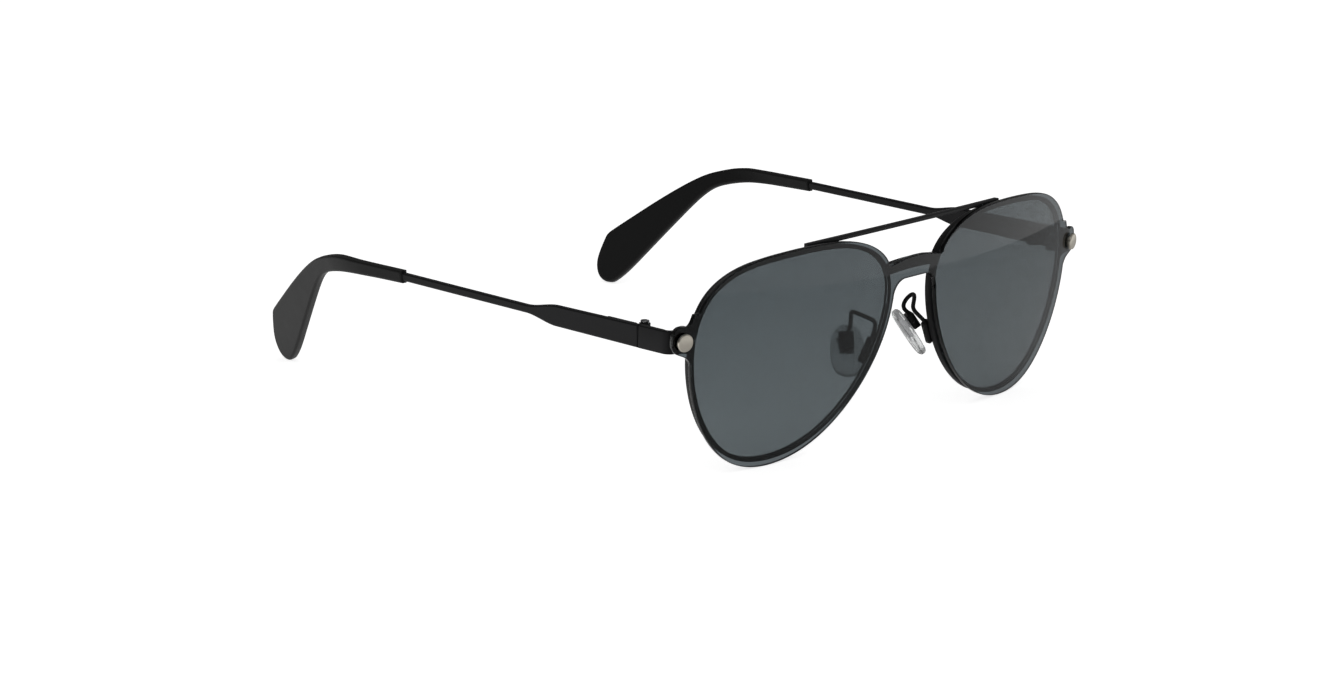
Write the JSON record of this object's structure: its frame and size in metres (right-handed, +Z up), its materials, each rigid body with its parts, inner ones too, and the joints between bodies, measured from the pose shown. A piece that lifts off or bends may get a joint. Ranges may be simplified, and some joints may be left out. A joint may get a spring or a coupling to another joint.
{
  "type": "clip-on eyeglasses",
  "caption": "Metal aviator eyeglasses with clear lenses, folding temples, rocking nose pads and a one-piece smoke tinted clip held by magnets.",
  "frame": {"origin": "centre of the footprint, on the table: below the middle of the bounding box", "axes": "+X to the wearer's left, -Y forward out of the lenses, +Z up"},
  "size_m": [0.143, 0.1398, 0.0475],
  "materials": {
    "black_metal": "satin black",
    "black_acetate": "matte black",
    "clear_lens": "clear, polished",
    "smoke_tint": "smoke grey, polished, see-through",
    "champagne_metal": "pale champagne, satin",
    "plated_steel": "bright plated",
    "clear_silicone": "translucent, soft gloss"
  },
  "bodies": {
    "front": {"bridge": "black_metal", "brow_bar": "black_metal", "left_rim": "black_metal", "right_rim": "black_metal", "left_demo_lens": "clear_lens", "right_demo_lens": "clear_lens", "left_end_piece": "black_metal", "right_end_piece": "black_metal", "left_end_magnet": "plated_steel", "right_end_magnet": "plated_steel", "left_rim_lock_upper": "black_metal", "right_rim_lock_upper": "black_metal", "left_rim_lock_lower": "black_metal", "right_rim_lock_lower": "black_metal", "left_rim_lock_screw": "plated_steel", "right_rim_lock_screw": "plated_steel", "left_front_hinge": "black_metal", "right_front_hinge": "black_metal", "left_hinge_screw": "plated_steel", "right_hinge_screw": "plated_steel", "left_pad_arm": "black_metal", "right_pad_arm": "black_metal", "left_pad_screw": "plated_steel", "right_pad_screw": "plated_steel"},
    "left_side_arm": {"left_temple": "black_metal", "left_temple_tip": "black_acetate", "left_temple_hinge": "black_metal"},
    "right_side_arm": {"right_temple": "black_metal", "right_temple_tip": "black_acetate", "right_temple_hinge": "black_metal"},
    "left_pad": {"left_nose_pad": "clear_silicone", "left_pad_insert": "plated_steel"},
    "right_pad": {"right_nose_pad": "clear_silicone", "right_pad_insert": "plated_steel"},
    "clip": {"tinted_clip_plate": "smoke_tint", "left_clip_stud": "champagne_metal", "right_clip_stud": "champagne_metal"}
  },
  "joints": [
    {"name": "left_temple_fold", "type": "hinge", "parent": "front", "child": "left_side_arm", "pos_m": [0.068, -0.0515, 0.03075], "axis": [0, 0, 1], "range_deg": [0, 85]},
    {"name": "right_temple_fold", "type": "hinge", "parent": "front", "child": "right_side_arm", "pos_m": [-0.068, -0.0515, 0.03075], "axis": [0, 0, -1], "range_deg": [0, 77]},
    {"name": "clip_pull", "type": "slide", "parent": "front", "child": "clip", "axis": [0, -1, 0], "range_m": [0, 0.03]},
    {"name": "left_pad_rock", "type": "hinge", "parent": "front", "child": "left_pad", "pos_m": [0.0122, -0.06023, 0.02135], "axis": [0.6077, 0.79, -0.0815], "range_deg": [-4, 4]},
    {"name": "right_pad_rock", "type": "hinge", "parent": "front", "child": "right_pad", "pos_m": [-0.0122, -0.06023, 0.02135], "axis": [-0.6077, 0.79, -0.0815], "range_deg": [-4, 4]}
  ]
}
